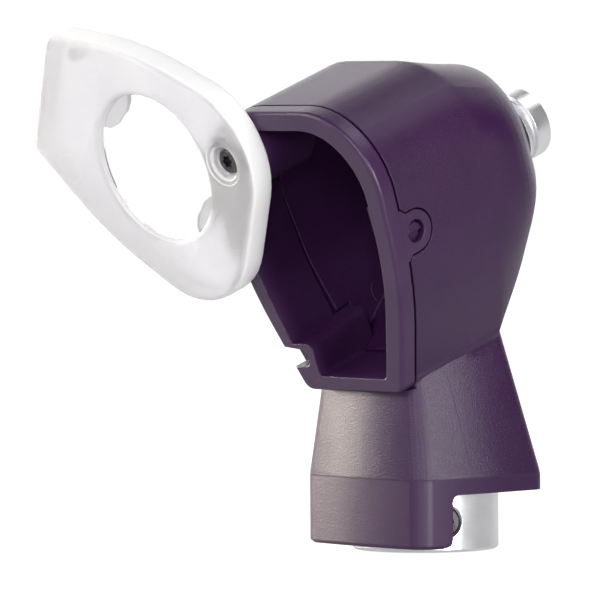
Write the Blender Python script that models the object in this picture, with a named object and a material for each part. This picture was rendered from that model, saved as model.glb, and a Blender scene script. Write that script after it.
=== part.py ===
"""Otoscope head: swing-away magnifier, open-backed housing, speculum nozzle, lamp and base sleeve.

Lengths are millimetres here and become metres when a mesh is made. World frame: +Z up along
the handle, the examiner looks from -Y towards +Y, X = 0 is the mirror plane and the origin is
the centre of the base sleeve's lower end.
The optical frame is (x, w, s): s runs along the lens axis from the front of the eyepiece
frame, w is up across that axis, and x is world X.
"""

import math

import bmesh
import bpy
from mathutils import Vector

MM = 0.001
GAP = 0.3                 # clearance between neighbouring pieces

# Optical frame
TILT = math.radians(20.8)  # lens axis above the horizontal
EYE_Y = -25.5              # lens axis at the front of the eyepiece frame
EYE_Z = 52.1

# Head
HEAD_HALF = 20.6           # widest half width
HEAD_TOP = 22.0            # above the lens axis
HEAD_BOTTOM = 27.4         # below the lens axis
FRAME_DEPTH = 3.2
FRAME_BAND = 3.5
TAPER_START = 23.4         # where the housing starts to narrow
NOSE_S = 45.5              # front end of the housing
NOSE_R = 7.9
CHIN_DROP = 3.0            # how far the tapering part sags below the lens axis
CHAMBER_S = 11.0           # where the frame's spigot ends and the inner chamber starts
SEAT_WALL = 1.6            # housing wall round the frame's spigot
LATCH_BLOCK_S = 13.3       # inner end of the block behind the latch slot

# Speculum holder
HOLDER_END = 52.8
HOLDER_R = 6.15
GROOVE_S = 47.9            # start of the locking groove
HOLDER_BORE = 4.9
SHANK_R = 5.6
NUT_R = 8.0
NOSE_WALL_S = 41.0         # inner face of the nose wall, which the nut clamps

# Swing-away lens carrier
PIVOT_X = -10.2
PIVOT_W = 14.9
OPEN_ANGLE = math.radians(121.0)
CARRIER_DEPTH = 4.6
PLATE = 2.2
LENS_HOLE = 13.6           # front radius of the lens seat
LENS_R = 12.9
TAB_ANGLES = (-113.0, 75.0)
BOSS_R = 5.9
SCREW_R = 1.25
HEAD_R = 2.1               # pivot screw's head

# Snap ear
EAR_S = 5.9
EAR_W = -0.7
EAR_R = 3.5
EAR_HOLE = 1.9
EAR_THICK = 1.5

# Neck, skirt and base
SKIRT_HALF = 14.35
SKIRT_BOTTOM = 1.0
CREASE_Z = 12.5
NECK_SLOPE = 0.153         # half width lost per mm of height
NECK_LEAN = 0.091           # shift towards the examiner per mm of height
NECK_TOP = EYE_Z - 12.1
SIDE_BULGE = 0.6           # how far the neck's side tangents meet outside its corners
FRONT_BULGE = 0.9          # the same for its front and back
CUT_TOP = 9.7
CUT_Y = -7.4
SLEEVE_R = 12.2
SLEEVE_WALL = 1.7
SLEEVE_TOP = 14.0
GRUB_R = 2.6
GRUB_Z = 5.1
LAMP_R = 4.0
LAMP_BORE = 5.3
LAMP_STEP_Z = 34.6         # where the lamp bore narrows to hold the guide's ferrule
FERRULE_R = 2.6
GUIDE_R = 1.3
GUIDE_DROP = -4.2          # light guide's end below the lens axis

SLEEVE_BORE = SLEEVE_R - SLEEVE_WALL
FRONT_S = -GAP - CARRIER_DEPTH
PIVOT_S = FRONT_S
HEAD_S = FRONT_S + 1.2     # outer face of the pivot screw's head


# ---------------------------------------------------------------- frames
AXIS = Vector((0.0, math.cos(TILT), math.sin(TILT)))
UPW = Vector((0.0, -math.sin(TILT), math.cos(TILT)))
RIGHT = Vector((1.0, 0.0, 0.0))
EYE = Vector((0.0, EYE_Y, EYE_Z))


def optic(x, w, s):
    """World point, in mm, of a point in the optical frame."""
    return EYE + RIGHT * x + UPW * w + AXIS * s


def swung(x, w, s):
    """World point of a carrier point given in its closed position, swung open."""
    c = math.cos(-OPEN_ANGLE)
    k = math.sin(-OPEN_ANGLE)
    dx = x - PIVOT_X
    dw = w - PIVOT_W
    return optic(PIVOT_X + dx * c - dw * k, PIVOT_W + dx * k + dw * c, s)


# ---------------------------------------------------------------- outlines
def fillet(corners, steps=5):
    """Closed loop of (a, b) points round corners given as (a, b, radius)."""
    loop = []
    count = len(corners)
    for i, (px, py, radius) in enumerate(corners):
        here = Vector((px, py))
        before = Vector(corners[i - 1][:2]) - here
        after = Vector(corners[(i + 1) % count][:2]) - here
        reach = min(before.length, after.length) * 0.49
        d1 = before.normalized()
        d2 = after.normalized()
        half = math.acos(max(-1.0, min(1.0, d1.dot(d2)))) / 2
        run = min(radius / math.tan(half), reach) if half < 1.5707 else radius
        start = here + d1 * run
        end = here + d2 * run
        for k in range(steps + 1):
            t = k / steps
            # conic arc through the corner, close to a circle
            weight = math.sin(half)
            a = (1 - t) ** 2
            b = 2 * t * (1 - t) * weight
            c = t * t
            point = (start * a + here * b + end * c) / (a + b + c)
            loop.append((point.x, point.y))
    return loop


def offset(corners, distance):
    """Corners moved inwards by distance; the loop runs anticlockwise."""
    moved = []
    count = len(corners)
    for i, (px, py, radius) in enumerate(corners):
        here = Vector((px, py))
        e1 = (here - Vector(corners[i - 1][:2])).normalized()
        e2 = (Vector(corners[(i + 1) % count][:2]) - here).normalized()
        n1 = Vector((-e1.y, e1.x))
        n2 = Vector((-e2.y, e2.x))
        shift = (n1 + n2) * (distance / (1 + n1.dot(n2)))
        convex = e1.x * e2.y - e1.y * e2.x > 0
        new_radius = max(radius - distance, 0.2) if convex else radius + distance
        moved.append((px + shift.x, py + shift.y, new_radius))
    return moved


def mirrored(right):
    """Full anticlockwise outline from its right half, given from the bottom to the top."""
    return right + [(-x, w, r) for x, w, r in reversed(right)]


def head_outline(bottom=HEAD_BOTTOM):
    right = [
        (11.6 + (HEAD_BOTTOM - bottom) * 0.38, -bottom, 2.2),
        (19.0 / 20.6 * HEAD_HALF, -8.3, 60.0),
        (HEAD_HALF, 13.2, 14.0),
        (12.0, HEAD_TOP + 0.1, 14.0),
    ]
    return mirrored(right)


def box_loop(half_x, y0, y1, radius, steps=6):
    """Rounded rectangle from y0 to y1."""
    corners = [
        (half_x, y0, radius), (half_x, y1, radius), (-half_x, y1, radius), (-half_x, y0, radius),
    ]
    return fillet(corners, steps)


# ---------------------------------------------------------------- mesh helpers
def solid(name, points, faces, origin=None):
    """Closed mesh object from world points in mm."""
    base = Vector(origin) if origin is not None else Vector((0.0, 0.0, 0.0))
    mesh = bpy.data.meshes.new(name)
    mesh.from_pydata([tuple((Vector(p) - base) * MM) for p in points], [], faces)
    work = bmesh.new()
    work.from_mesh(mesh)
    bmesh.ops.remove_doubles(work, verts=work.verts, dist=1e-7)
    bmesh.ops.recalc_face_normals(work, faces=work.faces)
    work.to_mesh(mesh)
    work.free()
    obj = bpy.data.objects.new(name, mesh)
    obj.location = base * MM
    bpy.context.scene.collection.objects.link(obj)
    return obj


def loft(name, rings, origin=None):
    """Solid through rings of equal point count, with flat ends."""
    count = len(rings[0])
    points = [p for ring in rings for p in ring]
    faces = []
    for level in range(len(rings) - 1):
        a = level * count
        b = a + count
        for i in range(count):
            j = (i + 1) % count
            faces.append((a + i, a + j, b + j, b + i))
    faces.append(tuple(range(count)))
    faces.append(tuple(range(len(points) - count, len(points))))
    return solid(name, points, faces, origin)


def prism(name, loop, s0, s1, place=optic, origin=None):
    return loft(name, [[place(a, b, s) for a, b in loop] for s in (s0, s1)], origin)


def plate(name, corners, s0, s1, front=0.0, back=0.0, place=optic, origin=None, steps=5):
    """Prism of a filleted outline with its front and back edges rounded."""
    levels = []
    if front > 0:
        for k in range(4):
            angle = math.pi / 2 * k / 4
            levels.append((front * (1 - math.sin(angle)), s0 + front * (1 - math.cos(angle))))
    levels.append((0.0, s0 + front))
    levels.append((0.0, s1 - back))
    if back > 0:
        for k in range(3, -1, -1):
            angle = math.pi / 2 * k / 4
            levels.append((back * (1 - math.sin(angle)), s1 - back * (1 - math.cos(angle))))
    rings = []
    for inset, s in levels:
        loop = fillet(offset(corners, inset) if inset > 0 else corners, steps)
        rings.append([place(a, b, s) for a, b in loop])
    return loft(name, rings, origin)


def across(direction):
    side = direction.cross(Vector((0.0, 0.0, 1.0)))
    if side.length < 0.1:
        side = Vector((1.0, 0.0, 0.0))
    side.normalize()
    return side, direction.cross(side).normalized()


def revolve(name, profile, base, direction, segments=40, origin=None):
    """Solid from (radius, height) points turned round an axis; profile is a closed outline."""
    direction = Vector(direction).normalized()
    side, up = across(direction)
    points = []
    index = []
    for radius, height in profile:
        centre = Vector(base) + direction * height
        if radius < 1e-6:
            index.append([len(points)] * segments)
            points.append(centre)
            continue
        index.append(list(range(len(points), len(points) + segments)))
        for k in range(segments):
            angle = 2 * math.pi * k / segments
            points.append(centre + (side * math.cos(angle) + up * math.sin(angle)) * radius)
    faces = []
    rows = len(profile)
    for r in range(rows):
        a = index[r]
        b = index[(r + 1) % rows]
        if a[0] == a[1] and b[0] == b[1]:
            continue
        for k in range(segments):
            m = (k + 1) % segments
            face = [a[k], a[m], b[m], b[k]]
            faces.append(tuple(dict.fromkeys(face)))
    return solid(name, points, faces, origin)


def cylinder(name, radius, base, direction, h0, h1, segments=40, chamfer=0.0, origin=None):
    c = chamfer
    profile = [(0, h0), (radius - c, h0), (radius, h0 + c), (radius, h1 - c), (radius - c, h1), (0, h1)]
    if c <= 0:
        profile = [(0, h0), (radius, h0), (radius, h1), (0, h1)]
    return revolve(name, profile, base, direction, segments, origin)


def tube(name, path, radius, segments=14):
    """Round bar along a list of world points."""
    rings = []
    for i, point in enumerate(path):
        ahead = path[min(i + 1, len(path) - 1)]
        behind = path[max(i - 1, 0)]
        direction = (ahead - behind).normalized()
        side = RIGHT
        up = direction.cross(side).normalized()
        ring = []
        for k in range(segments):
            angle = 2 * math.pi * k / segments
            ring.append(point + side * math.cos(angle) * radius + up * math.sin(angle) * radius)
        rings.append(ring)
    return loft(name, rings)


def combine(target, other, operation):
    """Exact Boolean with a helper solid that is kept out of the render."""
    other.hide_render = True
    other.display_type = "WIRE"
    modifier = target.modifiers.new(operation.title(), "BOOLEAN")
    modifier.operation = operation
    modifier.solver = "EXACT"
    modifier.object = other
    return target


def cut(target, other):
    return combine(target, other, "DIFFERENCE")


def join(target, other):
    return combine(target, other, "UNION")


def keep(target, other):
    return combine(target, other, "INTERSECT")


def bake(obj):
    """Replace the modifiers by their result and drop their helper solids."""
    helpers = [m.object for m in obj.modifiers if m.type == "BOOLEAN"]
    graph = bpy.context.evaluated_depsgraph_get()
    mesh = bpy.data.meshes.new_from_object(obj.evaluated_get(graph))
    obj.modifiers.clear()
    obj.data = mesh
    for helper in helpers:
        bpy.data.objects.remove(helper, do_unlink=True)
    return obj


def hexagon(radius, base, direction, h0, h1, name):
    return cylinder(name, radius, base, direction, h0, h1, segments=6)


# ---------------------------------------------------------------- housing
def narrowing(s):
    """How far along the taper s is, and the share of the side, top and bottom that is left."""
    u = max(0.0, min(1.0, (s - TAPER_START) / (NOSE_S - TAPER_START)))
    side = (1 - u ** 3.85) ** 2.0
    top = (1 - u ** 1.95) ** 0.43
    bottom = (1 - u) ** 1.71
    return u, side, top, bottom


def head_ring(s, inset, steps=5):
    """Section of the head at s, inset from the outer skin; it turns round at the nose."""
    u, side, top, bottom = narrowing(s)
    blend = u ** 4.5
    drop = CHIN_DROP * math.sin(math.pi * u)
    loop = fillet(offset(head_outline(), inset) if inset > 0 else head_outline(), steps)
    nose = NOSE_R - inset
    half = nose + (HEAD_HALF - inset - nose) * side
    ring = []
    for x, w in loop:
        reach, left = (HEAD_TOP, top) if w > 0 else (HEAD_BOTTOM, bottom)
        px = x * half / (HEAD_HALF - inset)
        pw = w * (nose + (reach - inset - nose) * left) / (reach - inset)
        angle = math.atan2(pw, px)
        size = math.hypot(px, pw)
        round_size = half if w > 0 else half * (1.12 - 0.12 * u)
        size = size * (1 - blend) + min(round_size, size * 1.2) * blend
        ring.append(optic(math.cos(angle) * size, math.sin(angle) * size - drop, s))
    return ring


def spread(first, last, count):
    return [first + (last - first) * k / (count - 1) for k in range(count)]


def head_outer(name, first, last, inset=0.0):
    stations = [first, 6.5, 10.0, 15.0, TAPER_START] + spread(TAPER_START + 2.2, last - 1.0, 11)
    stations += [last - 0.4, last]
    rings = [head_ring(s, inset) for s in stations]
    rings[-1] = head_ring(last, inset + 0.5)
    return loft(name, rings)


def neck_ring(z, grow=0.0):
    rise = max(0.0, z - CREASE_Z)
    half = SKIRT_HALF - NECK_SLOPE * rise + grow
    centre = -NECK_LEAN * rise
    side = half + SIDE_BULGE
    front = half + FRONT_BULGE
    corners = [
        (half, centre - half, 3.2), (side, centre, 90.0), (half, centre + half, 3.2),
        (0.0, centre + front, 90.0), (-half, centre + half, 3.2),
        (-side, centre, 90.0), (-half, centre - half, 3.2), (0.0, centre - front, 90.0),
    ]
    return [Vector((x, y, z)) for x, y in fillet(corners, 6)]


def neck_outer(name):
    rings = [neck_ring(SKIRT_BOTTOM, -0.5), neck_ring(SKIRT_BOTTOM + 0.5)]
    rings += [neck_ring(z) for z in (CREASE_Z - 0.4, CREASE_Z + 0.6, 20.0, 27.0, NECK_TOP)]
    neck = loft(name, rings)
    # keep clear of the eyepiece frame that hangs over the top of the neck
    low = -HEAD_BOTTOM - GAP
    room = [(-30.0, low), (30.0, low), (30.0, 0.0), (-30.0, 0.0)]
    cut(neck, prism("cut_frame_room", room, -20.0, FRAME_DEPTH + GAP))
    return bake(neck)


def chamber_ring(s, scale, floor_half, floor):
    """Section of the inner chamber at s; the scale shrinks it towards the nose."""
    corners = mirrored([
        (floor_half / scale, -floor / scale, 0.6), (15.0, -8.5, 25.0),
        (HEAD_HALF - FRAME_BAND - 0.3, 5.0, 0.6), (8.6, 17.6, 0.6),
    ])
    return [optic(x * scale, w * scale, s) for x, w in fillet(corners, 3)]


def latch_block(name, s0, s1, grow):
    """Block behind the latch slot, which steps the sight opening and swells inwards."""
    rings = []
    for s, right, top in ((s0, -7.5, -19.3), (s1, -7.3, -17.5)):
        corners = [
            (right + grow, -24.9 - grow, 0.3), (right + grow, top + grow, 1.4),
            (-12.0 - grow, top + grow, 0.3), (-10.3 - grow, -24.9 - grow, 0.3),
        ]
        rings.append([optic(x, w, s) for x, w in fillet(corners, 4)])
    return loft(name, rings)


def head_cavity(name):
    """Seat for the eyepiece frame, and the chamber that narrows towards the nose behind it."""
    seat = loft(name, [head_ring(s, SEAT_WALL) for s in (FRAME_DEPTH - 1, CHAMBER_S)])
    cut(seat, ear_block("cut_block", 0.0, 0.0))
    bake(seat)
    front = [head_ring(s, FRAME_BAND - 0.2) for s in (6.0, CHAMBER_S)]
    join(seat, loft("cut_front_chamber", front))
    stations = [(CHAMBER_S - 1, 1.0, 9.1, 24.3), (CHAMBER_S, 1.0, 9.1, 24.3)]
    stations += [(22.0, 0.86, 9.6, 17.2), (30.0, 0.70, 8.0, 14.0), (36.0, 0.54, 6.2, 10.8)]
    join(seat, loft("cut_inner_chamber", [chamber_ring(*station) for station in stations]))
    join(seat, latch_block("cut_latch_room", FRAME_DEPTH, LATCH_BLOCK_S + GAP, GAP))
    return bake(seat)


def ear_prism(name, grow):
    """Snap ear of the eyepiece frame over the right side of the housing."""
    r = EAR_R + grow
    loop = []
    for k in range(13):
        angle = -math.pi / 2 + math.pi * k / 12
        loop.append((EAR_S + r * math.cos(angle), EAR_W + r * math.sin(angle)))
    root = FRAME_DEPTH + GAP
    back = FRAME_DEPTH - 1.0
    loop += [(root + 0.9, EAR_W + r), (root, EAR_W + r + 0.9), (back, EAR_W + r + 0.9)]
    loop += [(back, EAR_W - r - 0.9), (root, EAR_W - r - 0.9), (root + 0.9, EAR_W - r)]
    inner = HEAD_HALF - EAR_THICK - 0.9 - grow
    ends = (inner, HEAD_HALF + 3)
    return loft(name, [[optic(x, w, s) for s, w in loop] for x in ends])


def ear_block(name, start, grow):
    """Block behind the ear, where the housing's wall stays full and the frame has no spigot."""
    half = EAR_R + 1.4 + grow
    loop = [(s, EAR_W + w) for s, w in ((start, -half), (16.0, -half), (16.0, half), (start, half))]
    return loft(name, [[optic(x, w, s) for s, w in loop] for x in (12.0, 26.0)])


def snap_lug(name):
    """Half-round lug of the housing that the ear's hole snaps over; flat underneath."""
    r = EAR_HOLE - 0.35
    loop = []
    for k in range(9):
        angle = math.pi * k / 8
        loop.append((EAR_S + r * math.cos(angle), EAR_W - 0.1 + r * math.sin(angle)))
    ends = (HEAD_HALF - EAR_THICK - 2.4, HEAD_HALF - EAR_THICK)
    return loft(name, [[optic(x, w, s) for s, w in loop] for x in ends])


def cut_away(name):
    """Opening at the front of the skirt that shows the base sleeve."""
    low = SKIRT_BOTTOM
    loop = [(CUT_Y - 1.5, low - 1.0), (30.0, low - 1.0), (30.0, CUT_TOP), (CUT_Y + 1.2, CUT_TOP)]
    for k in range(1, 5):
        angle = math.pi / 2 * k / 4
        y = CUT_Y + 1.2 - 1.2 * math.sin(angle)
        loop.append((y, CUT_TOP - 1.2 + 1.2 * math.cos(angle)))
    for k in range(5):
        angle = math.pi / 2 * k / 4
        y = CUT_Y - 1.5 + 1.5 * math.cos(angle)
        loop.append((y, low + 1.5 - 1.5 * math.sin(angle)))
    return loft(name, [[Vector((x, y, z)) for y, z in loop] for x in (-30.0, 30.0)])


def make_housing():
    shell = head_outer("housing_shell", FRAME_DEPTH + GAP, NOSE_S)
    join(shell, neck_outer("cut_neck"))
    cut(shell, head_cavity("cut_cavity"))
    up = (0, 0, 1)
    profile = [
        (0, -2), (SLEEVE_R + GAP, -2), (SLEEVE_R + GAP, SLEEVE_TOP + GAP),
        (LAMP_BORE, SLEEVE_TOP + GAP), (LAMP_BORE, LAMP_STEP_Z),
        (FERRULE_R + GAP, LAMP_STEP_Z), (FERRULE_R + GAP, EYE_Z - 6.1), (0, EYE_Z - 6.1),
    ]
    cut(shell, revolve("cut_bore", profile, (0, 0, 0), up, 40))
    nose = [
        (0, 33.0), (NUT_R + 0.6, 33.0), (NUT_R + 0.6, NOSE_WALL_S), (SHANK_R + GAP, NOSE_WALL_S),
        (SHANK_R + GAP, NOSE_S + 3), (0, NOSE_S + 3),
    ]
    cut(shell, revolve("cut_nose", nose, EYE, AXIS, 48))
    cut(shell, ear_prism("cut_ear", GAP))
    join(shell, snap_lug("add_lug"))
    cut(shell, cut_away("cut_skirt"))
    return bake(shell)


# ---------------------------------------------------------------- eyepiece frame
def opening_corners():
    """Sight opening, stepped round the latch slot at the lower left."""
    return [
        (8.9, -24.8, 1.2), (15.6, -7.0, 50.0), (17.0, 11.3, 11.5), (9.9, 18.9, 11.5),
        (-9.9, 18.9, 11.5), (-17.0, 11.3, 11.5), (-15.6, -7.0, 50.0), (-12.1, -19.1, 0.8),
        (-7.4, -19.1, 1.2), (-7.4, -24.8, 0.8),
    ]


def latch_slot(name):
    """Slot, open to the left, that the carrier's latch post swings into."""
    loop = []
    for k in range(9):
        angle = -math.pi / 2 + math.pi * k / 8
        loop.append((-10.3 + 1.55 * math.cos(angle), -21.6 + 1.55 * math.sin(angle)))
    loop += [(-24.0, -18.6), (-24.0, -22.4), (-12.9, -23.3)]
    return prism(name, loop, -2.0, 2.8)


def make_frame():
    frame = plate("eyepiece_frame", head_outline(), 0.0, FRAME_DEPTH, 0.7, 0.3)
    ear = head_outer("add_ear", 1.2, 30.0, 0.03)
    keep(ear, ear_prism("cut_ear_form", 0.0))
    join(frame, bake(ear))
    outline = fillet(offset(head_outline(), SEAT_WALL + GAP))
    spigot = prism("add_spigot", outline, 1.5, CHAMBER_S - GAP)
    cut(spigot, ear_block("cut_spigot", FRAME_DEPTH - 0.2, GAP))
    join(frame, bake(spigot))
    opening = prism("cut_opening", fillet(opening_corners()), -2.0, 20.0)
    boss_at = optic(PIVOT_X, PIVOT_W, 0)
    cut(opening, cylinder("cut_round_boss", BOSS_R, boss_at, AXIS, -3.0, 21.0))
    bake(opening)
    cut(frame, opening)
    join(frame, latch_block("add_latch_block", FRAME_DEPTH, LATCH_BLOCK_S, 0.0))
    cut(frame, latch_slot("cut_latch"))
    hole = optic(0, EAR_W, EAR_S)
    cut(frame, cylinder("cut_ear_hole", EAR_HOLE, hole, RIGHT, 17.4, HEAD_HALF + 5.4, 28))
    bush = optic(PIVOT_X, PIVOT_W, 0)
    cut(frame, cylinder("cut_bush", 2.6 + GAP, bush, AXIS, -1.0, 5.4, 28))
    return bake(frame)


# ---------------------------------------------------------------- pivot
def make_pivot():
    base = optic(PIVOT_X, PIVOT_W, 0)
    bush = revolve(
        "pivot_bush",
        [(SCREW_R + GAP, 0.2), (2.6, 0.2), (2.6, 5.1), (SCREW_R + GAP, 5.1)],
        base, AXIS, 28,
    )
    s0 = HEAD_S
    profile = [
        (0, s0), (HEAD_R - 0.3, s0), (HEAD_R, s0 + 0.25), (HEAD_R, s0 + 1.3),
        (SCREW_R, s0 + 1.3), (SCREW_R, 4.6), (SCREW_R - 0.3, 4.9), (0, 4.9),
    ]
    screw = revolve("pivot_screw", profile, base, AXIS, 28)
    drive = []
    for k in range(36):
        angle = 2 * math.pi * k / 36
        r = 1.02 + 0.2 * math.cos(6 * angle)
        drive.append((PIVOT_X + r * math.cos(angle), PIVOT_W + r * math.sin(angle)))
    cut(screw, prism("cut_pivot_drive", drive, s0 - 1, s0 + 0.8))
    bake(screw)
    w0 = s0 + 1.3 + GAP
    washer = revolve(
        "spring_washer",
        [
            (SCREW_R + GAP, w0), (HEAD_R, w0 + 0.15), (HEAD_R, w0 + 0.4),
            (SCREW_R + GAP, w0 + 0.25),
        ],
        base, AXIS, 28,
    )
    return bush, screw, washer


# ---------------------------------------------------------------- swing-away carrier
def carrier_corners():
    return offset(head_outline(HEAD_BOTTOM - 0.2), -0.3)


def lens_tab(name, middle):
    """Ledge behind the lens, part of the carrier."""
    outer = LENS_R + GAP + 0.8
    loop = []
    for k in range(7):
        angle = middle + math.radians(24) * (k / 3 - 1)
        loop.append((outer * math.cos(angle), outer * math.sin(angle)))
    for k in range(4, -1, -1):
        angle = middle + math.radians(19) * (k / 2 - 1)
        r = LENS_R - 2.4 if 0 < k < 4 else LENS_R - 1.2
        loop.append((r * math.cos(angle), r * math.sin(angle)))
    back = FRONT_S + PLATE
    return prism(name, loop, back - 0.15, back + 0.75, place=swung)


def make_carrier():
    pivot = optic(PIVOT_X, PIVOT_W, PIVOT_S)
    corners = carrier_corners()
    carrier = plate(
        "lens_carrier", corners, FRONT_S, -GAP, 1.0, 0.25, place=swung, origin=pivot, steps=6,
    )
    tray = fillet(offset(corners, 1.7), 6)
    tray_cut = prism("cut_tray", tray, FRONT_S + PLATE, 1.0, place=swung)
    hinge = swung(PIVOT_X, PIVOT_W, 0)
    cut(tray_cut, cylinder("cut_hinge_boss", 4.3, hinge, AXIS, -9.0, 3.0, 36))
    bake(tray_cut)
    cut(carrier, tray_cut)
    centre = swung(0, 0, 0)
    seat = revolve(
        "cut_lens_seat",
        [
            (0, FRONT_S - 1), (LENS_HOLE + 0.6, FRONT_S - 1), (LENS_HOLE + 0.6, FRONT_S),
            (LENS_R + GAP, FRONT_S + 0.5), (LENS_R + GAP, FRONT_S + PLATE + 3),
            (0, FRONT_S + PLATE + 3),
        ],
        centre, AXIS, 72,
    )
    cut(carrier, seat)
    for i, angle in enumerate(TAB_ANGLES):
        join(carrier, lens_tab(f"add_tab_{i}", math.radians(angle)))
    bore = revolve(
        "cut_pivot_bore",
        [
            (0, FRONT_S - 1), (3.8, FRONT_S - 1), (3.8, FRONT_S + 0.25), (3.1, FRONT_S + 0.3),
            (2.9, FRONT_S + 0.8), (HEAD_R + GAP, HEAD_S), (HEAD_R + GAP, HEAD_S + 2.2),
            (SCREW_R + GAP, HEAD_S + 2.2), (SCREW_R + GAP, 2.0), (0, 2.0),
        ],
        hinge, AXIS, 32,
    )
    cut(carrier, bore)
    post_at = swung(-10.35, -21.6, 0)
    post = cylinder("add_post", 1.15, post_at, AXIS, FRONT_S + 1, 2.2, 20, 0.25)
    join(carrier, post)
    return bake(carrier)


# ---------------------------------------------------------------- lens
def make_lens():
    centre = swung(0, 0, 0)
    pivot = optic(PIVOT_X, PIVOT_W, PIVOT_S)
    back = FRONT_S + PLATE - 0.15 - GAP
    profile = []
    for k in range(8):
        r = LENS_R * k / 8
        profile.append((r, back - 0.5 - 0.9 * (1 - (r / LENS_R) ** 2)))
    profile += [(LENS_R, back - 0.5), (LENS_R, back), (0, back)]
    lens = revolve("magnifier_lens", profile, centre, AXIS, 56, origin=pivot)
    return lens


# ---------------------------------------------------------------- speculum holder
def make_holder():
    profile = [
        (HOLDER_BORE, 36.2), (SHANK_R, 36.2), (SHANK_R, NOSE_S + GAP),
        (7.4, NOSE_S + GAP), (7.4, NOSE_S + 0.6), (7.0, NOSE_S + 1.1), (6.6, NOSE_S + 1.8),
        (HOLDER_R + 0.2, GROOVE_S - 0.4), (HOLDER_R, GROOVE_S), (5.45, GROOVE_S + 0.1),
        (5.45, GROOVE_S + 1.0), (HOLDER_R, GROOVE_S + 1.2),
        (HOLDER_R, HOLDER_END - 0.6), (HOLDER_R - 0.5, HOLDER_END), (HOLDER_BORE + 0.2, HOLDER_END),
        (HOLDER_BORE, HOLDER_END - 0.3),
    ]
    holder = revolve("speculum_holder", profile, EYE, AXIS, 56)
    nut = revolve(
        "holder_nut",
        [
            (SHANK_R + GAP, NOSE_WALL_S - 2.7), (NUT_R, NOSE_WALL_S - 2.7),
            (NUT_R, NOSE_WALL_S - GAP), (SHANK_R + GAP, NOSE_WALL_S - GAP),
        ],
        EYE, AXIS, 40,
    )
    ring = revolve(
        "light_ring",
        [
            (HOLDER_BORE - 0.9, 36.6), (HOLDER_BORE - GAP, 36.6),
            (HOLDER_BORE - GAP, HOLDER_END - 0.5), (HOLDER_BORE - 0.9, HOLDER_END - 0.5),
        ],
        EYE, AXIS, 36,
    )
    return holder, nut, ring


# ---------------------------------------------------------------- lamp and light guide
def make_lamp():
    up = (0, 0, 1)
    origin = (0, 0, 0)
    body = revolve(
        "lamp_body",
        [
            (3.1, 17.6), (LAMP_R, 17.6), (LAMP_R, 21.0), (LAMP_R + 0.7, 21.0),
            (LAMP_R + 0.7, 22.2), (LAMP_R, 22.2), (LAMP_R, 31.0), (3.1, 31.0),
        ],
        origin, up, 36,
    )
    insulator = revolve(
        "lamp_insulator",
        [(1.6, 16.6), (LAMP_R, 16.6), (LAMP_R, 17.3), (2.8, 17.4), (2.8, 20.0), (1.6, 20.0)],
        origin, up, 32,
    )
    tip = revolve(
        "lamp_tip",
        [(0, 15.4), (0.9, 15.5), (1.3, 16.0), (1.3, 19.4), (0, 19.4)], origin, up, 24,
    )
    bulb = revolve(
        "lamp_bulb",
        [
            (0, 23.0), (2.7, 23.0), (2.7, 31.0), (2.5, 32.4), (1.9, 33.5), (1.0, 34.1), (0, 34.3),
        ],
        origin, up, 32,
    )
    collar = revolve(
        "lamp_collar",
        [
            (LAMP_R + GAP, SLEEVE_TOP + 0.8), (LAMP_BORE - GAP, SLEEVE_TOP + 0.8),
            (LAMP_BORE - GAP, 20.6), (LAMP_R + GAP, 20.6),
        ],
        origin, up, 36,
    )
    ferrule = revolve(
        "guide_ferrule",
        [
            (GUIDE_R + GAP, LAMP_STEP_Z + 0.3), (FERRULE_R, LAMP_STEP_Z + 0.3),
            (FERRULE_R, LAMP_STEP_Z + 2.8), (GUIDE_R + GAP, LAMP_STEP_Z + 2.8),
        ],
        origin, up, 28,
    )
    return body, insulator, tip, bulb, collar, ferrule


def guide_path():
    start = Vector((0.0, 0.0, LAMP_STEP_Z + 0.2))
    end = optic(0.0, GUIDE_DROP, 35.2)
    lift = start + Vector((0.0, 0.0, 15.0))
    lead = end - AXIS * 11.0
    path = []
    for k in range(15):
        t = k / 14
        point = start * (1 - t) ** 3 + lift * 3 * t * (1 - t) ** 2
        point += lead * 3 * t * t * (1 - t) + end * t ** 3
        path.append(point)
    return path


def make_guide():
    return tube("light_guide", guide_path(), GUIDE_R, 16)


# ---------------------------------------------------------------- base
def make_sleeve():
    up = (0, 0, 1)
    profile = [
        (SLEEVE_BORE, 0.5), (SLEEVE_BORE + 0.4, 0.0), (SLEEVE_R - 0.4, 0.0), (SLEEVE_R, 0.4),
        (SLEEVE_R, SLEEVE_TOP), (LAMP_BORE - 1.0, SLEEVE_TOP), (LAMP_BORE - 1.0, 12.6),
        (SLEEVE_BORE, 12.6),
    ]
    sleeve = revolve("base_sleeve", profile, (0, 0, 0), up, 64)
    for i, angle in enumerate(GRUB_ANGLES):
        out = Vector((math.cos(angle), math.sin(angle), 0))
        base = Vector((0, 0, GRUB_Z))
        cut(sleeve, cylinder(f"cut_grub_{i}", GRUB_R + GAP, base, out, 6.0, 16.0, 24))
    return bake(sleeve)


GRUB_ANGLES = [math.radians(a) for a in (-27.0, 90.0, 207.0)]


def make_grubs():
    made = []
    for name, angle in zip(("right", "front", "left"), GRUB_ANGLES):
        out = Vector((math.cos(angle), math.sin(angle), 0))
        base = Vector((0, 0, GRUB_Z))
        r0 = SLEEVE_BORE - 0.2
        r1 = SLEEVE_R - 0.1
        profile = [
            (0, r0), (GRUB_R - 0.4, r0), (GRUB_R, r0 + 0.4), (GRUB_R, r1 - 0.3),
            (GRUB_R - 0.3, r1), (0, r1),
        ]
        grub = revolve(f"grub_screw_{name}", profile, base, out, 24)
        cut(grub, hexagon(1.45, base, out, r0 + 0.6, r1 + 1, f"cut_hex_{name}"))
        made.append(bake(grub))
    return made


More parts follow.
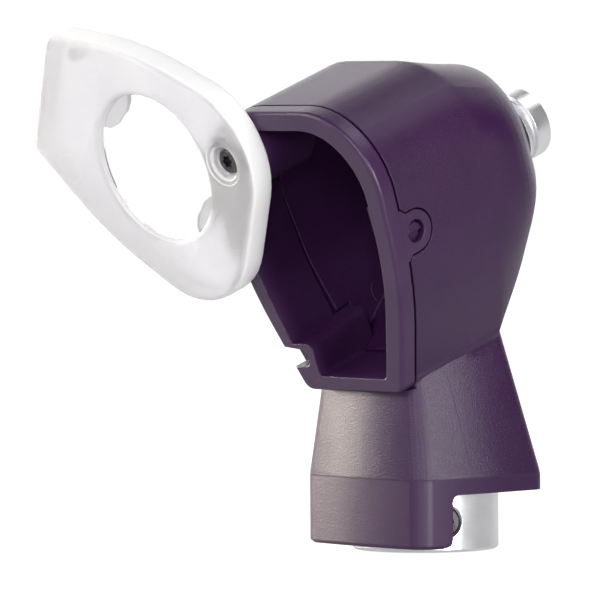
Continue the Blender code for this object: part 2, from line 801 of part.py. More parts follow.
def make_contact():
    up = (0, 0, 1)
    origin = (0, 0, 0)
    disc = revolve(
        "contact_disc",
        [
            (2.0, 9.4), (SLEEVE_BORE - GAP, 9.4), (SLEEVE_BORE - GAP, 12.3), (4.0, 12.3),
            (4.0, 15.2), (3.4, 15.2), (3.4, 10.8), (2.0, 10.8),
        ],
        origin, up, 40,
    )
    plunger = revolve(
        "contact_plunger",
        [
            (0, 6.6), (1.0, 6.8), (1.7, 7.6), (1.7, 11.1), (2.9, 11.1), (2.9, 11.9),
            (1.1, 11.9), (1.1, 13.0), (0, 13.0),
        ],
        origin, up, 28, origin=(0, 0, 11.1),
    )
    return disc, plunger


def spring_path(z0, z1, radius, turns, steps):
    path = []
    for k in range(steps + 1):
        t = k / steps
        angle = 2 * math.pi * turns * t
        point = Vector((radius * math.cos(angle), radius * math.sin(angle), z0 + (z1 - z0) * t))
        path.append(point)
    return path


def make_spring():
    path = spring_path(12.42, 16.05, 1.75, 3.5, 49)
    rings = []
    wire = 0.22
    for i, point in enumerate(path):
        radial = Vector((point.x, point.y, 0)).normalized()
        ahead = path[min(i + 1, len(path) - 1)] - path[max(i - 1, 0)]
        binormal = ahead.normalized().cross(radial).normalized()
        ring = []
        for k in range(8):
            angle = 2 * math.pi * k / 8
            ring.append(point + radial * math.cos(angle) * wire + binormal * math.sin(angle) * wire)
        rings.append(ring)
    return loft("contact_spring", rings)


# ---------------------------------------------------------------- materials
def material(name, colour, metallic=0.0, roughness=0.45, alpha=1.0):
    made = bpy.data.materials.new(name)
    made.use_nodes = True
    shader = made.node_tree.nodes["Principled BSDF"]
    shader.inputs["Base Color"].default_value = (*colour, 1.0)
    shader.inputs["Metallic"].default_value = metallic
    shader.inputs["Roughness"].default_value = roughness
    shader.inputs["Alpha"].default_value = alpha
    return made


LOOKS = {
    "housing_shell": ("shell_plastic", (0.035, 0.022, 0.045), 0.0, 0.42),
    "eyepiece_frame": ("frame_plastic", (0.032, 0.020, 0.042), 0.0, 0.40),
    "pivot_bush": ("bush_brass", (0.62, 0.45, 0.18), 1.0, 0.3),
    "pivot_screw": ("pivot_steel", (0.10, 0.10, 0.11), 1.0, 0.35),
    "spring_washer": ("washer_steel", (0.55, 0.55, 0.56), 1.0, 0.3),
    "lens_carrier": ("carrier_clear", (0.85, 0.86, 0.87), 0.0, 0.3),
    "magnifier_lens": ("lens_glass", (0.95, 0.97, 0.98), 0.0, 0.02),
    "speculum_holder": ("holder_aluminium", (0.75, 0.75, 0.77), 1.0, 0.28),
    "holder_nut": ("nut_brass", (0.62, 0.45, 0.18), 1.0, 0.35),
    "light_ring": ("ring_fibre", (0.85, 0.85, 0.80), 0.0, 0.2),
    "lamp_body": ("lamp_nickel", (0.70, 0.68, 0.64), 1.0, 0.25),
    "lamp_insulator": ("lamp_ceramic", (0.80, 0.78, 0.72), 0.0, 0.6),
    "lamp_tip": ("lamp_solder", (0.60, 0.60, 0.60), 1.0, 0.3),
    "lamp_bulb": ("bulb_glass", (0.92, 0.94, 0.95), 0.0, 0.03),
    "lamp_collar": ("collar_plastic", (0.75, 0.74, 0.70), 0.0, 0.5),
    "guide_ferrule": ("ferrule_brass", (0.62, 0.45, 0.18), 1.0, 0.3),
    "light_guide": ("guide_fibre", (0.80, 0.82, 0.78), 0.0, 0.25),
    "base_sleeve": ("sleeve_aluminium", (0.72, 0.72, 0.74), 1.0, 0.32),
    "grub_screw_right": ("grub_steel_right", (0.05, 0.05, 0.055), 1.0, 0.4),
    "grub_screw_front": ("grub_steel_front", (0.05, 0.05, 0.055), 1.0, 0.4),
    "grub_screw_left": ("grub_steel_left", (0.05, 0.05, 0.055), 1.0, 0.4),
    "contact_disc": ("disc_phenolic", (0.16, 0.07, 0.03), 0.0, 0.5),
    "contact_plunger": ("plunger_brass", (0.68, 0.50, 0.20), 1.0, 0.25),
    "contact_spring": ("spring_steel", (0.50, 0.50, 0.52), 1.0, 0.3),
}


def paint():
    for name, look in LOOKS.items():
        obj = bpy.data.objects[name]
        obj.data.materials.clear()
        obj.data.materials.append(material(*look))
        for face in obj.data.polygons:
            face.use_smooth = True
            face.material_index = 0


def clear():
    for obj in list(bpy.data.objects):
        bpy.data.objects.remove(obj, do_unlink=True)


clear()
make_housing()
make_frame()
make_pivot()
make_carrier()
make_lens()
make_holder()
make_lamp()
make_guide()
make_sleeve()
make_grubs()
make_contact()
make_spring()
paint()
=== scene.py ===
"""Looks of the otoscope head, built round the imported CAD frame.

Places and sizes in the materials are in mm, and those of the studio are in metres.
"""

import math

import bpy
from mathutils import Matrix, Vector

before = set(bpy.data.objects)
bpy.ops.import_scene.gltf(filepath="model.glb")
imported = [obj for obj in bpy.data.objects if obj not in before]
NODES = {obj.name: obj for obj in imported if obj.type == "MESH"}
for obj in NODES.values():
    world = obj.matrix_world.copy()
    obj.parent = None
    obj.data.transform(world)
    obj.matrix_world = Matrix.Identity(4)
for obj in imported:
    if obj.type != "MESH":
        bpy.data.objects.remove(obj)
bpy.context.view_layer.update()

# ---------------------------------------------------------------- places on the object, in mm
UP = (0.0, 0.0, 1.0)
RIGHT = (1.0, 0.0, 0.0)
LEFT = (-1.0, 0.0, 0.0)
FORWARD = (0.0, 1.0, 0.0)

# The lens axis of the head, as the frame has it: x to the right, w up across the axis, s along it.
TILT = math.radians(20.8)
EYE = Vector((0.0, -25.5, 52.1))
AXIS = Vector((0.0, math.cos(TILT), math.sin(TILT)))
ACROSS = Vector((0.0, -math.sin(TILT), math.cos(TILT)))

# The skirt's smoother band ends between these heights, just under the neck's crease.
BAND_LOW, BAND_HIGH = 12.15, 12.5
# The neck ends where it meets the underside of the head, at this w.
NECK_LOW_W, NECK_HIGH_W = -25.4, -25.1
# Surfaces nearer the upright axis than this are the bores, not the skin.
BORE_EDGE, SKIN_EDGE = 11.6, 11.9
# The neck's shading normal leans out with distance from these places, as on a curve of this radius.
DOME_X, DOME_X_RADIUS = 2.0, 32.0
DOME_Y, DOME_Y_RADIUS = 8.0, 50.0

# The carrier turns on its pivot (x, w), and stands open by this angle.
PIVOT = (-10.2, 14.9)
OPEN_ANGLE = math.radians(-121.0)
# Ejector-pin marks on the carrier, as (x, w) in its closed position, and the plate's face.
CARRIER_PINS = [(-12.5, -17.0), (11.0, -18.5), (16.0, 8.0), (-15.8, 6.0), (2.0, 19.0)]
CARRIER_FACE_S = -4.0


def optic(x, w, s):
    """World point of a point in the optical frame."""
    return EYE + Vector((x, 0, 0)) + ACROSS * w + AXIS * s


def open_place(x, w, s):
    """World point of a carrier point given in its closed position, swung open."""
    c, k = math.cos(OPEN_ANGLE), math.sin(OPEN_ANGLE)
    dx, dw = x - PIVOT[0], w - PIVOT[1]
    return optic(PIVOT[0] + dx * c - dw * k, PIVOT[1] + dx * k + dw * c, s)


# ---------------------------------------------------------------- material building blocks
def connect(tree, target, value):
    """Give a socket a link from another socket, or a constant."""
    if isinstance(value, bpy.types.NodeSocket):
        tree.links.new(value, target)
    else:
        target.default_value = value


class Look:
    """A Principled material and short ways to build its nodes."""

    def __init__(self, name, **values):
        self.material = bpy.data.materials.new(name)
        self.material.use_nodes = True
        self.tree = self.material.node_tree
        self.bsdf = self.tree.nodes["Principled BSDF"]
        for socket, value in values.items():
            self.put(self.bsdf.inputs[socket.replace("_", " ")], value)
        coords = self.tree.nodes.new("ShaderNodeTexCoord")
        scale = self.tree.nodes.new("ShaderNodeMapping")
        scale.inputs["Scale"].default_value = (1000.0, 1000.0, 1000.0)
        self.put(scale.inputs["Vector"], coords.outputs["Object"])
        self.mm = scale.outputs["Vector"]

    def put(self, target, value):
        connect(self.tree, target, value)

    def math(self, operation, a, b=0.0):
        node = self.tree.nodes.new("ShaderNodeMath")
        node.operation = operation
        self.put(node.inputs[0], a)
        self.put(node.inputs[1], b)
        return node.outputs[0]

    def vector(self, operation, a, b=(0.0, 0.0, 0.0)):
        node = self.tree.nodes.new("ShaderNodeVectorMath")
        node.operation = operation
        self.put(node.inputs[0], a)
        self.put(node.inputs[1], b)
        return node

    def along(self, direction, origin=(0.0, 0.0, 0.0)):
        """Distance along a direction from an origin."""
        moved = self.vector("SUBTRACT", self.mm, tuple(origin))
        return self.vector("DOT_PRODUCT", moved.outputs[0], tuple(direction)).outputs["Value"]

    def stretched(self, scale):
        node = self.tree.nodes.new("ShaderNodeMapping")
        node.inputs["Scale"].default_value = scale
        self.put(node.inputs["Vector"], self.mm)
        return node.outputs["Vector"]

    def noise(self, scale, detail=2.0, rough=0.5, vector=None):
        node = self.tree.nodes.new("ShaderNodeTexNoise")
        node.inputs["Scale"].default_value = scale
        node.inputs["Detail"].default_value = detail
        node.inputs["Roughness"].default_value = rough
        self.put(node.inputs["Vector"], self.mm if vector is None else vector)
        return node.outputs["Fac"]

    def remap(self, value, low, high, to_low=0.0, to_high=1.0, smooth=False):
        node = self.tree.nodes.new("ShaderNodeMapRange")
        node.interpolation_type = "SMOOTHSTEP" if smooth else "LINEAR"
        self.put(node.inputs["Value"], value)
        node.inputs["From Min"].default_value = low
        node.inputs["From Max"].default_value = high
        node.inputs["To Min"].default_value = to_low
        node.inputs["To Max"].default_value = to_high
        return node.outputs[0]

    def all_of(self, first, *masks):
        """Product of masks."""
        for mask in masks:
            first = self.math("MULTIPLY", first, mask)
        return first

    def mix(self, factor, a, b):
        """Colour a where the factor is 0 and colour b where it is 1."""
        node = self.tree.nodes.new("ShaderNodeMix")
        node.data_type = "RGBA"
        self.put(node.inputs["Factor"], factor)
        self.put(node.inputs["A"], a)
        self.put(node.inputs["B"], b)
        return node.outputs["Result"]

    def blend(self, factor, a, b):
        """Vector a where the factor is 0 and vector b where it is 1."""
        node = self.tree.nodes.new("ShaderNodeMix")
        node.data_type = "VECTOR"
        self.put(node.inputs["Factor"], factor)
        ends = {socket.name: socket for socket in node.inputs if socket.type == "VECTOR"}
        self.put(ends["A"], a)
        self.put(ends["B"], b)
        return next(socket for socket in node.outputs if socket.type == "VECTOR")

    def line(self, distance, width):
        """1 on the surface where distance is 0, falling to 0 at width."""
        return self.remap(self.math("ABSOLUTE", distance), 0.0, width, 1.0, 0.0, smooth=True)

    def ring(self, centre, direction, radius, width):
        """1 on a circle round a centre, seen along a direction."""
        moved = self.vector("SUBTRACT", self.mm, tuple(centre)).outputs[0]
        crossed = self.vector("CROSS_PRODUCT", moved, tuple(direction)).outputs[0]
        far = self.vector("LENGTH", crossed).outputs["Value"]
        return self.line(self.math("SUBTRACT", far, radius), width)

    def rounded(self, radius):
        """Normal that runs smoothly round a sharp edge."""
        node = self.tree.nodes.new("ShaderNodeBevel")
        node.samples = 6
        node.inputs["Radius"].default_value = radius / 1000
        return node.outputs["Normal"]

    def bump(self, height, depth, normal=None):
        """Normal of a surface raised by height times depth."""
        node = self.tree.nodes.new("ShaderNodeBump")
        node.inputs["Strength"].default_value = 1.0
        node.inputs["Distance"].default_value = depth / 1000
        self.put(node.inputs["Height"], height)
        if normal is not None:
            self.put(node.inputs["Normal"], normal)
        return node.outputs["Normal"]

    def groove(self, mask, depth, normal):
        """Normal of a surface sunk by depth where the mask is 1."""
        return self.bump(self.math("MULTIPLY", mask, -1.0), depth, normal)

    def finish(self, colour=None, roughness=None, normal=None):
        for socket, value in (("Base Color", colour), ("Roughness", roughness), ("Normal", normal)):
            if value is not None:
                self.put(self.bsdf.inputs[socket], value)
        return self.material


# ---------------------------------------------------------------- plastics
def moulded(name, dark, light):
    """Fine spark-eroded black-purple plastic: its look, grain, colour and roughness."""
    look = Look(name, IOR=1.5, Specular_IOR_Level=0.52)
    grit = look.noise(4.2, 2.0, 0.6)
    fine = look.noise(8.5, 2.0, 0.5)
    cloud = look.noise(0.09, 3.0, 0.6)
    grain = look.math("ADD", look.math("MULTIPLY", grit, 0.7), look.math("MULTIPLY", fine, 0.3))
    colour = look.mix(look.remap(cloud, 0.3, 0.7), dark, light)
    colour = look.mix(look.remap(grain, 0.42, 0.66, 0.0, 0.35), colour, light)
    rough = look.remap(grain, 0.3, 0.7, 0.30, 0.42)
    return look, grain, colour, rough


def parting_line(look):
    """Mask of the fine line up the right side of the neck."""
    lean, start, end, fade = 0.1937, 12.8, 28.8, 0.6
    seam = look.line(look.along((0.0, 1.0, lean), (0.0, -3.14, 13.2)), 0.11)
    on_right = look.remap(look.along(RIGHT), 9.0, 9.6)
    over_start = look.remap(look.along(UP), start, start + fade)
    under_end = look.remap(look.along(UP), end, end + fade, 1.0, 0.0)
    return look.all_of(seam, on_right, over_start, under_end)


def chamber_mark(look):
    """Mask of the ejector-pin circle on the left inner wall."""
    circle = look.ring(optic(-13.0, -18.0, 20.6), RIGHT, 2.5, 0.10)
    left_half = look.remap(look.along(LEFT), 6.0, 7.0)
    inside_wall = look.remap(look.along(LEFT), 17.0, 16.4)
    return look.all_of(circle, left_half, inside_wall)


def neck_normal(look):
    """Edge-rounded normal that leans outwards on the neck's and skirt's slightly convex sides."""
    edges = look.rounded(0.25)
    across = look.along(RIGHT, (DOME_X, 0.0, 0.0))
    lengthways = look.along(FORWARD, (0.0, DOME_Y, 0.0))
    dome = look.math(
        "ADD",
        look.math("MULTIPLY", look.math("MULTIPLY", across, across), -0.5 / DOME_X_RADIUS),
        look.math("MULTIPLY", look.math("MULTIPLY", lengthways, lengthways), -0.5 / DOME_Y_RADIUS),
    )
    leaning = look.bump(dome, 1.0, edges)
    under_head = look.remap(look.along(ACROSS, EYE), NECK_LOW_W, NECK_HIGH_W, 1.0, 0.0)
    radial = look.vector("LENGTH", look.stretched((1.0, 1.0, 0.0))).outputs["Value"]
    on_skin = look.remap(radial, BORE_EDGE, SKIN_EDGE)
    flatter_skirt = look.remap(look.along(UP), BAND_LOW, BAND_HIGH, 0.45, 1.0)
    return look.blend(look.all_of(under_head, on_skin, flatter_skirt), edges, leaning)


def shell_plastic():
    look, grain, colour, rough = moulded(
        "shell_plastic", (0.021, 0.0012, 0.033, 1.0), (0.031, 0.004, 0.044, 1.0)
    )
    band = look.remap(look.along(UP), BAND_LOW, BAND_HIGH, 1.0, 0.0, smooth=True)
    rough = look.math("ADD", rough, look.math("MULTIPLY", band, 0.08))
    grain = look.math("MULTIPLY", grain, look.math("SUBTRACT", 1.0, look.math("MULTIPLY", band, 0.55)))
    normal = look.bump(grain, 0.10, neck_normal(look))
    marks = look.math("SUBTRACT", parting_line(look), chamber_mark(look))
    return look.finish(colour, rough, look.bump(marks, 0.035, normal))


def frame_plastic():
    look, grain, colour, rough = moulded(
        "frame_plastic", (0.031, 0.006, 0.045, 1.0), (0.041, 0.013, 0.055, 1.0)
    )
    hook_mark = look.ring(optic(-8.3, -25.9, 0.0), AXIS, 0.55, 0.09)
    normal = look.bump(grain, 0.055, look.rounded(0.30))
    return look.finish(colour, rough, look.groove(hook_mark, 0.03, normal))


def plain_plastic(name, dark, light, roughness):
    look = Look(name, IOR=1.5)
    speck = look.noise(5.0, 3.0, 0.6)
    cloud = look.noise(0.35, 2.0, 0.5)
    colour = look.mix(look.remap(cloud, 0.35, 0.65), dark, light)
    rough = look.remap(speck, 0.3, 0.7, roughness - 0.05, roughness + 0.05)
    return look.finish(colour, rough, look.bump(speck, 0.008, look.rounded(0.12)))


def phenolic():
    """Brown laminate with fibres that show."""
    look = Look("disc_phenolic", IOR=1.55)
    fibre = look.noise(1.6, 4.0, 0.7, look.stretched((1.0, 4.0, 8.0)))
    colour = look.mix(
        look.remap(fibre, 0.3, 0.7), (0.10, 0.035, 0.012, 1.0), (0.24, 0.10, 0.035, 1.0)
    )
    rough = look.remap(fibre, 0.3, 0.7, 0.40, 0.55)
    return look.finish(colour, rough, look.bump(fibre, 0.012, look.rounded(0.15)))


# ---------------------------------------------------------------- clear pieces
def carrier_clear():
    """Frosted clear plastic: milky, with flow clouds, faint ejector-pin circles, and a painted highlight
    that whitens its edges.
    """
    look = Look(
        "carrier_clear", IOR=1.49, Subsurface_Weight=0.5,
        Subsurface_Radius=(0.006, 0.006, 0.0065), Subsurface_Scale=1.0,
    )
    cloud = look.noise(0.11, 3.0, 0.55)
    speck = look.noise(3.0, 2.0, 0.5)
    colour = look.mix(
        look.remap(cloud, 0.3, 0.7), (0.76, 0.75, 0.785, 1.0), (0.83, 0.825, 0.85, 1.0)
    )
    # the plate's edge gets a painted highlight, a whiter colour chosen by the way its faces turn, and it
    # hides more than its flat faces
    facing = look.tree.nodes.new("ShaderNodeNewGeometry").outputs["Normal"]
    flat = look.math("ABSOLUTE", look.vector("DOT_PRODUCT", facing, tuple(AXIS)).outputs["Value"])
    rim_painted_highlight = look.remap(flat, 0.35, 0.85, 1.0, 0.0, smooth=True)
    colour = look.mix(rim_painted_highlight, colour, (0.95, 0.945, 0.96, 1.0))
    look.put(look.bsdf.inputs["Transmission Weight"], look.remap(rim_painted_highlight, 0.0, 1.0, 0.72, 0.25))
    pins = 0.0
    for x, w in CARRIER_PINS:
        pin = look.ring(open_place(x, w, CARRIER_FACE_S), AXIS, 2.6, 0.10)
        pins = look.math("MAXIMUM", pin, pins)
    rough = look.remap(speck, 0.3, 0.7, 0.30, 0.42)
    normal = look.bump(speck, 0.005, look.rounded(0.30))
    return look.finish(colour, rough, look.groove(pins, 0.03, normal))


def clear(name, tint_a, tint_b, scale, ior):
    """Polished clear glass or plastic with a faint uneven tint."""
    look = Look(name, IOR=ior, Transmission_Weight=1.0)
    cloud = look.noise(scale, 2.0, 0.5)
    colour = look.mix(look.remap(cloud, 0.35, 0.65), tint_a, tint_b)
    return look.finish(colour, look.remap(cloud, 0.3, 0.7, 0.0, 0.015))


def fibres(name):
    """Polished ends and flanks of a bundle of glass fibres."""
    look = Look(name, IOR=1.52, Transmission_Weight=0.75)
    node = look.tree.nodes.new("ShaderNodeTexVoronoi")
    node.inputs["Scale"].default_value = 6.0
    look.put(node.inputs["Vector"], look.mm)
    cell = node.outputs["Distance"]
    colour = look.mix(
        look.remap(cell, 0.1, 0.6), (0.93, 0.92, 0.86, 1.0), (0.55, 0.54, 0.48, 1.0)
    )
    rough = look.remap(cell, 0.0, 0.6, 0.12, 0.32)
    return look.finish(colour, rough, look.bump(cell, -0.01))


# ---------------------------------------------------------------- metals
def turned(name, tones, roughness, direction, origin=(0, 0, 0), pitch=9.0, depth=0.004):
    """Metal turned on a lathe: fine rings square to its axis, with slight stains."""
    look = Look(name, Metallic=1.0)
    along = look.along(direction, origin)
    wobble = look.noise(0.5, 2.0, 0.5)
    place = look.math("ADD", look.math("MULTIPLY", along, pitch), look.math("MULTIPLY", wobble, 1.2))
    rings = look.tree.nodes.new("ShaderNodeTexNoise")
    rings.noise_dimensions = "1D"
    rings.inputs["Scale"].default_value = 1.0
    rings.inputs["Detail"].default_value = 3.0
    look.put(rings.inputs["W"], place)
    lines = rings.outputs["Fac"]
    stain = look.noise(0.30, 3.0, 0.6)
    shade = look.math("ADD", look.math("MULTIPLY", lines, 0.5), look.math("MULTIPLY", stain, 0.5))
    colour = look.mix(look.remap(shade, 0.35, 0.65), *tones)
    rough = look.remap(shade, 0.3, 0.7, roughness - 0.05, roughness + 0.07)
    return look.finish(colour, rough, look.bump(lines, depth, look.rounded(0.12)))


def blackened(name, dark, light, roughness):
    """Black-oxide steel, worn to bare metal in specks."""
    look = Look(name, Metallic=1.0)
    speck = look.noise(4.0, 4.0, 0.7)
    cloud = look.noise(0.9, 2.0, 0.5)
    colour = look.mix(look.remap(cloud, 0.3, 0.7), dark, light)
    colour = look.mix(look.remap(speck, 0.60, 0.75, 0.0, 0.6), colour, (0.34, 0.33, 0.33, 1.0))
    rough = look.remap(speck, 0.3, 0.7, roughness - 0.06, roughness + 0.10)
    return look.finish(colour, rough, look.bump(speck, 0.004, look.rounded(0.10)))


def wire(name):
    """Drawn or pressed bare metal with short streaks."""
    look = Look(name, Metallic=1.0)
    streak = look.noise(7.0, 2.0, 0.5, look.stretched((1.0, 1.0, 5.0)))
    colour = look.mix(
        look.remap(streak, 0.3, 0.7), (0.40, 0.40, 0.42, 1.0), (0.62, 0.62, 0.64, 1.0)
    )
    rough = look.remap(streak, 0.3, 0.7, 0.24, 0.36)
    return look.finish(colour, rough, look.bump(streak, 0.003))


ALUMINIUM = ((0.88, 0.88, 0.91, 1.0), (0.97, 0.97, 0.99, 1.0))
SATIN = ((0.84, 0.84, 0.87, 1.0), (0.95, 0.95, 0.98, 1.0))
BRASS = ((0.55, 0.36, 0.13, 1.0), (0.74, 0.53, 0.22, 1.0))
NICKEL = ((0.58, 0.56, 0.52, 1.0), (0.72, 0.70, 0.66, 1.0))
OXIDE = ((0.035, 0.034, 0.037, 1.0), (0.0665, 0.0646, 0.0703, 1.0))
SCREW_BLACK = ((0.06, 0.058, 0.062, 1.0), (0.114, 0.1102, 0.1178, 1.0))
CERAMIC = ((0.74, 0.72, 0.66, 1.0), (0.84, 0.83, 0.78, 1.0))
IVORY = ((0.66, 0.65, 0.60, 1.0), (0.78, 0.77, 0.72, 1.0))
LENS_TINTS = ((0.985, 0.99, 0.995, 1.0), (1.0, 1.0, 1.0, 1.0))
BULB_TINTS = ((0.95, 0.97, 0.975, 1.0), (0.99, 1.0, 1.0, 1.0))

LOOKS = {
    "housing_shell": shell_plastic(),
    "eyepiece_frame": frame_plastic(),
    "lens_carrier": carrier_clear(),
    "magnifier_lens": clear("lens_glass", *LENS_TINTS, 0.08, 1.49),
    "pivot_bush": turned("bush_brass", BRASS, 0.26, AXIS, EYE),
    "pivot_screw": blackened("pivot_steel", *SCREW_BLACK, 0.30),
    "spring_washer": wire("washer_steel"),
    "speculum_holder": turned("holder_aluminium", ALUMINIUM, 0.36, AXIS, EYE),
    "holder_nut": turned("nut_brass", BRASS, 0.28, AXIS, EYE),
    "light_ring": fibres("ring_fibre"),
    "light_guide": fibres("guide_fibre"),
    "guide_ferrule": turned("ferrule_brass", BRASS, 0.25, UP),
    "lamp_body": turned("lamp_nickel", NICKEL, 0.20, UP),
    "lamp_insulator": plain_plastic("lamp_ceramic", *CERAMIC, 0.35),
    "lamp_collar": plain_plastic("collar_plastic", *IVORY, 0.45),
    "lamp_tip": wire("lamp_solder"),
    "lamp_bulb": clear("bulb_glass", *BULB_TINTS, 0.2, 1.5),
    "base_sleeve": turned("sleeve_aluminium", SATIN, 0.33, UP, pitch=7.0, depth=0.006),
    "grub_screw_right": blackened("grub_steel_right", *OXIDE, 0.32),
    "grub_screw_front": blackened("grub_steel_front", *OXIDE, 0.32),
    "grub_screw_left": blackened("grub_steel_left", *OXIDE, 0.32),
    "contact_disc": phenolic(),
    "contact_plunger": turned("plunger_brass", BRASS, 0.22, UP),
    "contact_spring": wire("spring_steel"),
}


# ---------------------------------------------------------------- surfaces of the CAD pieces
WELD_DISTANCE = 2e-6
SHARP_ANGLE = math.radians(28)


def smoothing():
    """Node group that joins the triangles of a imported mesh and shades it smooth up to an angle."""
    group = bpy.data.node_groups.new("smooth_surfaces", "GeometryNodeTree")
    group.interface.new_socket("Geometry", in_out="INPUT", socket_type="NodeSocketGeometry")
    group.interface.new_socket("Geometry", in_out="OUTPUT", socket_type="NodeSocketGeometry")
    start = group.nodes.new("NodeGroupInput")
    end = group.nodes.new("NodeGroupOutput")
    bare = group.nodes.new("GeometryNodeRemoveAttribute")
    bare.inputs["Name"].default_value = "custom_normal"
    merge = group.nodes.new("GeometryNodeMergeByDistance")
    merge.inputs["Distance"].default_value = WELD_DISTANCE
    faces = group.nodes.new("GeometryNodeSetShadeSmooth")
    edges = group.nodes.new("GeometryNodeSetShadeSmooth")
    edges.domain = "EDGE"
    edges.inputs["Shade Smooth"].default_value = False
    fold = group.nodes.new("GeometryNodeInputMeshEdgeAngle")
    over = group.nodes.new("FunctionNodeCompare")
    over.operation = "GREATER_THAN"
    over.inputs["B"].default_value = SHARP_ANGLE
    link = group.links.new
    link(start.outputs[0], bare.inputs["Geometry"])
    link(bare.outputs["Geometry"], merge.inputs["Geometry"])
    link(merge.outputs["Geometry"], faces.inputs["Geometry"])
    link(faces.outputs["Geometry"], edges.inputs["Geometry"])
    link(fold.outputs["Unsigned Angle"], over.inputs["A"])
    link(over.outputs["Result"], edges.inputs["Selection"])
    link(edges.outputs["Geometry"], end.inputs[0])
    return group


def dress_nodes():
    """Give every CAD piece its material and smooth shading."""
    group = smoothing()
    for name, obj in NODES.items():
        obj.data.materials.clear()
        obj.data.materials.append(LOOKS[name])
        join = obj.modifiers.new("join", "NODES")
        join.node_group = group
        even = obj.modifiers.new("even", "WEIGHTED_NORMAL")
        even.mode = "FACE_AREA_WITH_ANGLE"
        even.weight = 50
        even.keep_sharp = True


# ---------------------------------------------------------------- studio, in metres
HEAD = (0.0, -0.01, 0.045)
WHITE = (1.0, 1.0, 1.0)
WARM = (1.0, 0.92, 0.76)
# Name, centre, width, height, watts and colour of each softbox.
SOFTBOXES = [
    ("left_box", (-0.82, -0.26, 0.20), 0.16, 0.34, 9.0, WARM),
    ("side_box", (-0.50, -0.60, 0.30), 0.42, 0.30, 2.6, WHITE),
    ("top_box", (0.22, 0.20, 0.72), 0.40, 0.26, 1.2, WHITE),
    ("front_box", (0.35, -0.90, 0.50), 0.50, 0.40, 4.5, WHITE),
    ("fill_box", (0.62, -0.64, 0.20), 0.16, 0.30, 1.6, WHITE),
    ("right_box", (0.85, -0.08, 0.12), 0.14, 0.40, 7.0, WHITE),
]

# Brightness of the room on the near side and behind the object, and of the paper, as light sources.
ROOM_DIM, ROOM_LIT = 0.04, 1.7
PAPER_GLOW = 0.42
# Brightness of both where they are seen, so that the background is white.
ROOM_SHOWN, PAPER_SHOWN = 1.02, 0.97
# The lit paper stands this way from the object; the room brightens between these cosines to it.
LIT_SIDE = (-0.80, 0.59, 0.10)
LIT_FROM, LIT_FULL = 0.42, 0.97

FLOOR_RADIUS, FLOOR_SIDES, FLOOR_Z = 3.0, 48, -0.0004


def seen_directly(tree, lighting, shown):
    """Studio brightness: one level as a light source, another where it is seen or seen through glass."""
    path = tree.nodes.new("ShaderNodeLightPath")
    seen = tree.nodes.new("ShaderNodeMath")
    seen.operation = "MAXIMUM"
    connect(tree, seen.inputs[0], path.outputs["Is Camera Ray"])
    connect(tree, seen.inputs[1], path.outputs["Is Transmission Ray"])
    level = tree.nodes.new("ShaderNodeMix")
    level.data_type = "FLOAT"
    connect(tree, level.inputs["Factor"], seen.outputs[0])
    connect(tree, level.inputs["A"], lighting)
    connect(tree, level.inputs["B"], shown)
    return level.outputs["Result"]


def floor():
    """Round sheet of pale paper just under the object."""
    mesh = bpy.data.meshes.new("studio_floor")
    corners = []
    for side in range(FLOOR_SIDES):
        angle = side / FLOOR_SIDES * math.tau
        corners.append((FLOOR_RADIUS * math.cos(angle), FLOOR_RADIUS * math.sin(angle), FLOOR_Z))
    mesh.from_pydata(corners, [], [tuple(range(FLOOR_SIDES))])
    obj = bpy.data.objects.new("studio_floor", mesh)
    bpy.context.scene.collection.objects.link(obj)
    look = Look("studio_paper", Specular_IOR_Level=0.1)
    cloud = look.noise(0.004, 2.0, 0.5)
    colour = look.mix(cloud, (0.20, 0.20, 0.20, 1.0), (0.22, 0.22, 0.22, 1.0))
    obj.data.materials.append(look.finish(colour, 0.9))
    look.put(look.bsdf.inputs["Emission Color"], (1.0, 1.0, 1.0, 1.0))
    glow = seen_directly(look.tree, PAPER_GLOW, PAPER_SHOWN)
    look.put(look.bsdf.inputs["Emission Strength"], glow)


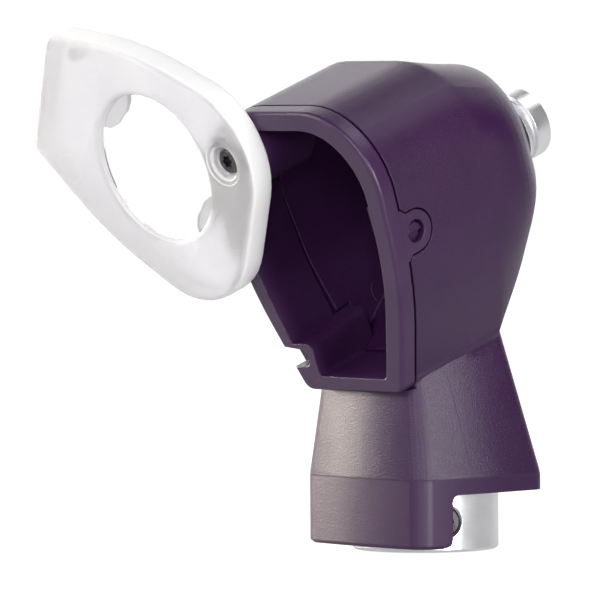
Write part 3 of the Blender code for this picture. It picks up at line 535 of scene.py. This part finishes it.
def softbox(name, centre, width, height, watts, colour):
    light = bpy.data.lights.new(name, "AREA")
    light.shape = "RECTANGLE"
    light.size = width
    light.size_y = height
    light.energy = watts
    light.color = colour
    obj = bpy.data.objects.new(name, light)
    obj.location = centre
    aim = Vector(HEAD) - Vector(centre)
    obj.rotation_euler = aim.to_track_quat("-Z", "Y").to_euler()
    bpy.context.scene.collection.objects.link(obj)


def white_surround():
    """World that shows white, and lights the object from the lit paper behind it."""
    world = bpy.data.worlds.new("studio_white")
    world.use_nodes = True
    tree = world.node_tree
    back = tree.nodes["Background"]
    back.inputs["Color"].default_value = (1.0, 1.0, 1.0, 1.0)
    place = tree.nodes.new("ShaderNodeTexCoord")
    behind = tree.nodes.new("ShaderNodeVectorMath")
    behind.operation = "DOT_PRODUCT"
    behind.inputs[1].default_value = LIT_SIDE
    connect(tree, behind.inputs[0], place.outputs["Generated"])
    room = tree.nodes.new("ShaderNodeMapRange")
    room.interpolation_type = "SMOOTHSTEP"
    room.inputs["From Min"].default_value = LIT_FROM
    room.inputs["From Max"].default_value = LIT_FULL
    room.inputs["To Min"].default_value = ROOM_DIM
    room.inputs["To Max"].default_value = ROOM_LIT
    connect(tree, room.inputs["Value"], behind.outputs["Value"])
    connect(tree, back.inputs["Strength"], seen_directly(tree, room.outputs[0], ROOM_SHOWN))
    bpy.context.scene.world = world


def camera():
    """Long-lens view from the examiner's side and the right, a little above the lens."""
    data = bpy.data.cameras.new("camera")
    data.sensor_width = 36.0
    data.lens = 373.02
    data.clip_start = 0.05
    data.clip_end = 20.0
    obj = bpy.data.objects.new("camera", data)
    right = Vector((0.66647965, 0.74548637, -0.00741274))
    up = Vector((-0.02284971, 0.0303644, 0.99927769))
    back = Vector((0.74517298, -0.66582886, 0.0372714))
    turn = Matrix((right, up, back)).transposed().to_4x4()
    obj.matrix_world = Matrix.Translation((0.75720, -0.70421, 0.07997)) @ turn
    bpy.context.scene.collection.objects.link(obj)
    bpy.context.scene.camera = obj


dress_nodes()
floor()
white_surround()
camera()
for box in SOFTBOXES:
    softbox(*box)
bpy.context.scene.view_settings.view_transform = "Standard"
